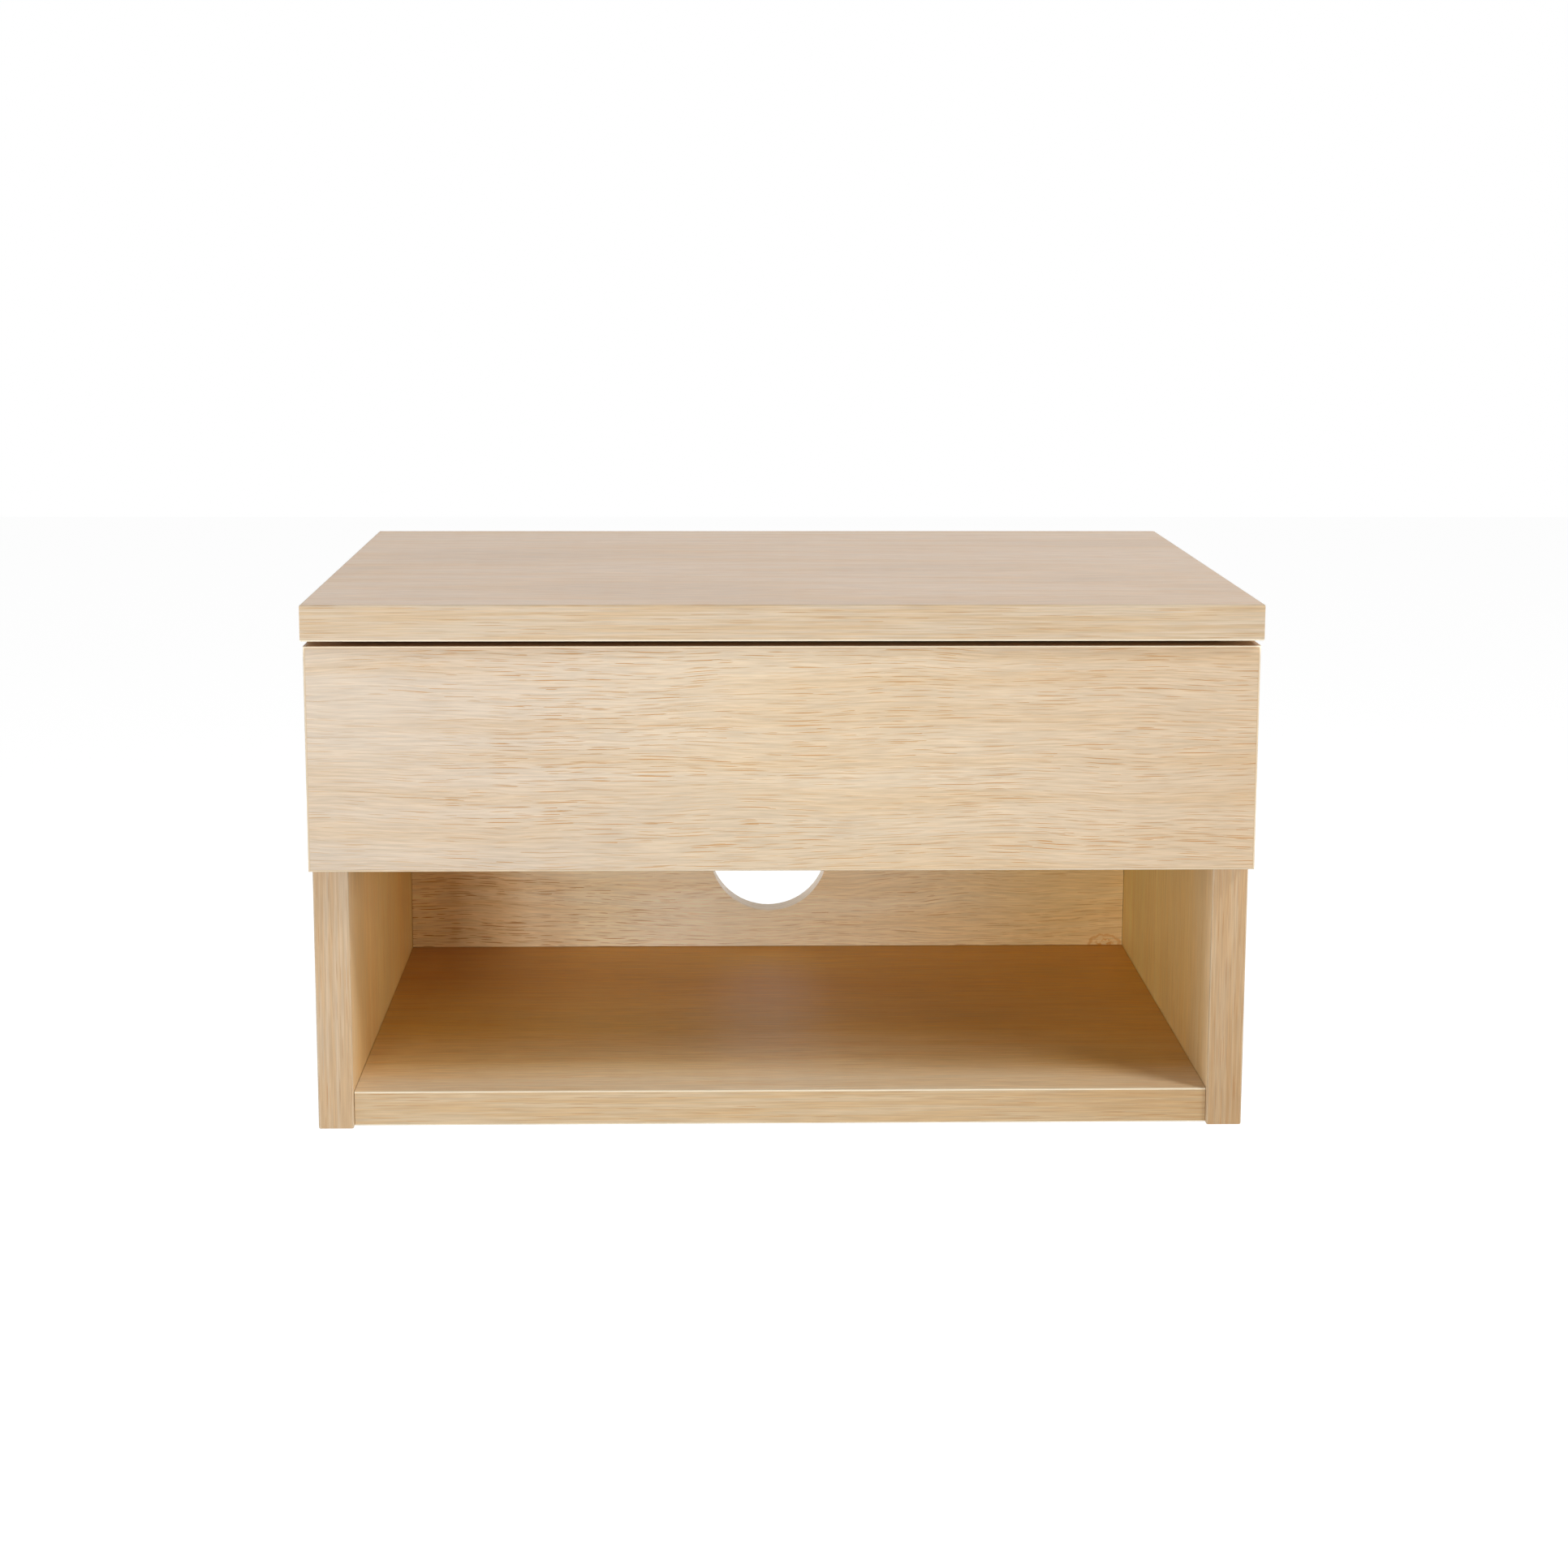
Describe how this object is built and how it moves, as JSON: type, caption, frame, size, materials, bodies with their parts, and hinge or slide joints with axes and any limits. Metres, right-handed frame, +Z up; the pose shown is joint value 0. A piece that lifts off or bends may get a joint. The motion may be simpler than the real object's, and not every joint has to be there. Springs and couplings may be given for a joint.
{
  "type": "floating nightstand",
  "caption": "Wall-hung nightstand in oak-finish board: a full-width handleless drawer on telescopic ball slides over an open shelf with a round cable hole in its back.",
  "frame": {"origin": "centre of the wall rail's rear face, on the wall", "axes": "+X to the right seen from the front, along the longest side; +Y out of the wall rail's rear face into the wall; +Z up, along the shortest side"},
  "size_m": [0.5, 0.4, 0.2876],
  "materials": {
    "oak_board": "oak-effect laminate, satin",
    "drawer_board": "plain laminate, satin",
    "hardboard": "smooth face",
    "zinc_steel": "bright zinc plate",
    "cage_steel": "bare stamped steel",
    "aluminium_rail": "mill finish extrusion",
    "zinc_casting": "die-cast zinc",
    "clear_silicone": "soft clear dome"
  },
  "bodies": {
    "case": {"top_panel": "oak_board", "left_side_panel": "oak_board", "right_side_panel": "oak_board", "bottom_shelf": "oak_board", "back_panel": "oak_board", "wall_rail": "aluminium_rail", "case_hanging_rail": "aluminium_rail", "rail_screw_1": "zinc_steel", "rail_screw_2": "zinc_steel", "rail_screw_3": "zinc_steel", "rail_screw_4": "zinc_steel", "top_cam_left_front": "zinc_casting", "top_cam_left_rear": "zinc_casting", "top_cam_right_front": "zinc_casting", "top_cam_right_rear": "zinc_casting", "shelf_cam_left_front": "zinc_casting", "shelf_cam_left_rear": "zinc_casting", "shelf_cam_right_front": "zinc_casting", "shelf_cam_right_rear": "zinc_casting", "top_cam_bolt_left_front": "zinc_steel", "top_cam_bolt_left_rear": "zinc_steel", "top_cam_bolt_right_front": "zinc_steel", "top_cam_bolt_right_rear": "zinc_steel", "shelf_cam_bolt_left_front": "zinc_steel", "shelf_cam_bolt_left_rear": "zinc_steel", "shelf_cam_bolt_right_front": "zinc_steel", "shelf_cam_bolt_right_rear": "zinc_steel", "left_slide_case_rail": "zinc_steel", "right_slide_case_rail": "zinc_steel", "left_slide_case_screw_front": "zinc_steel", "left_slide_case_screw_rear": "zinc_steel", "right_slide_case_screw_front": "zinc_steel", "right_slide_case_screw_rear": "zinc_steel"},
    "drawer": {"drawer_front": "oak_board", "drawer_box_front": "drawer_board", "drawer_left_side": "drawer_board", "drawer_right_side": "drawer_board", "drawer_back": "drawer_board", "drawer_bottom": "hardboard", "drawer_front_screw_1": "zinc_steel", "drawer_front_screw_2": "zinc_steel", "drawer_front_screw_3": "zinc_steel", "drawer_front_screw_4": "zinc_steel", "bumper_left": "clear_silicone", "bumper_right": "clear_silicone", "left_slide_drawer_rail": "zinc_steel", "right_slide_drawer_rail": "zinc_steel", "left_slide_drawer_screw_front": "zinc_steel", "left_slide_drawer_screw_rear": "zinc_steel", "right_slide_drawer_screw_front": "zinc_steel", "right_slide_drawer_screw_rear": "zinc_steel"},
    "left_middle": {"left_slide_middle_rail": "zinc_steel"},
    "right_middle": {"right_slide_middle_rail": "zinc_steel"},
    "left_outer_cage": {"left_slide_outer_cage": "cage_steel"},
    "right_outer_cage": {"right_slide_outer_cage": "cage_steel"},
    "left_inner_cage": {"left_slide_inner_cage": "cage_steel"},
    "right_inner_cage": {"right_slide_inner_cage": "cage_steel"}
  },
  "joints": [
    {"name": "drawer_slide", "type": "slide", "parent": "case", "child": "drawer", "axis": [0, -1, 0], "range_m": [0, 0.3]},
    {"name": "left_middle_slide", "type": "slide", "parent": "case", "child": "left_middle", "axis": [0, -1, 0], "range_m": [0, 0.15]},
    {"name": "right_middle_slide", "type": "slide", "parent": "case", "child": "right_middle", "axis": [0, -1, 0], "range_m": [0, 0.15]},
    {"name": "left_outer_cage_slide", "type": "slide", "parent": "case", "child": "left_outer_cage", "axis": [0, -1, 0], "range_m": [0, 0.075]},
    {"name": "right_outer_cage_slide", "type": "slide", "parent": "case", "child": "right_outer_cage", "axis": [0, -1, 0], "range_m": [0, 0.075]},
    {"name": "left_inner_cage_slide", "type": "slide", "parent": "case", "child": "left_inner_cage", "axis": [0, -1, 0], "range_m": [0, 0.225]},
    {"name": "right_inner_cage_slide", "type": "slide", "parent": "case", "child": "right_inner_cage", "axis": [0, -1, 0], "range_m": [0, 0.225]}
  ],
  "couplings": [
    {"joint": "left_middle_slide", "follows": "drawer_slide", "ratio": 0.5},
    {"joint": "right_middle_slide", "follows": "drawer_slide", "ratio": 0.5},
    {"joint": "left_outer_cage_slide", "follows": "drawer_slide", "ratio": 0.25},
    {"joint": "right_outer_cage_slide", "follows": "drawer_slide", "ratio": 0.25},
    {"joint": "left_inner_cage_slide", "follows": "drawer_slide", "ratio": 0.75},
    {"joint": "right_inner_cage_slide", "follows": "drawer_slide", "ratio": 0.75}
  ]
}
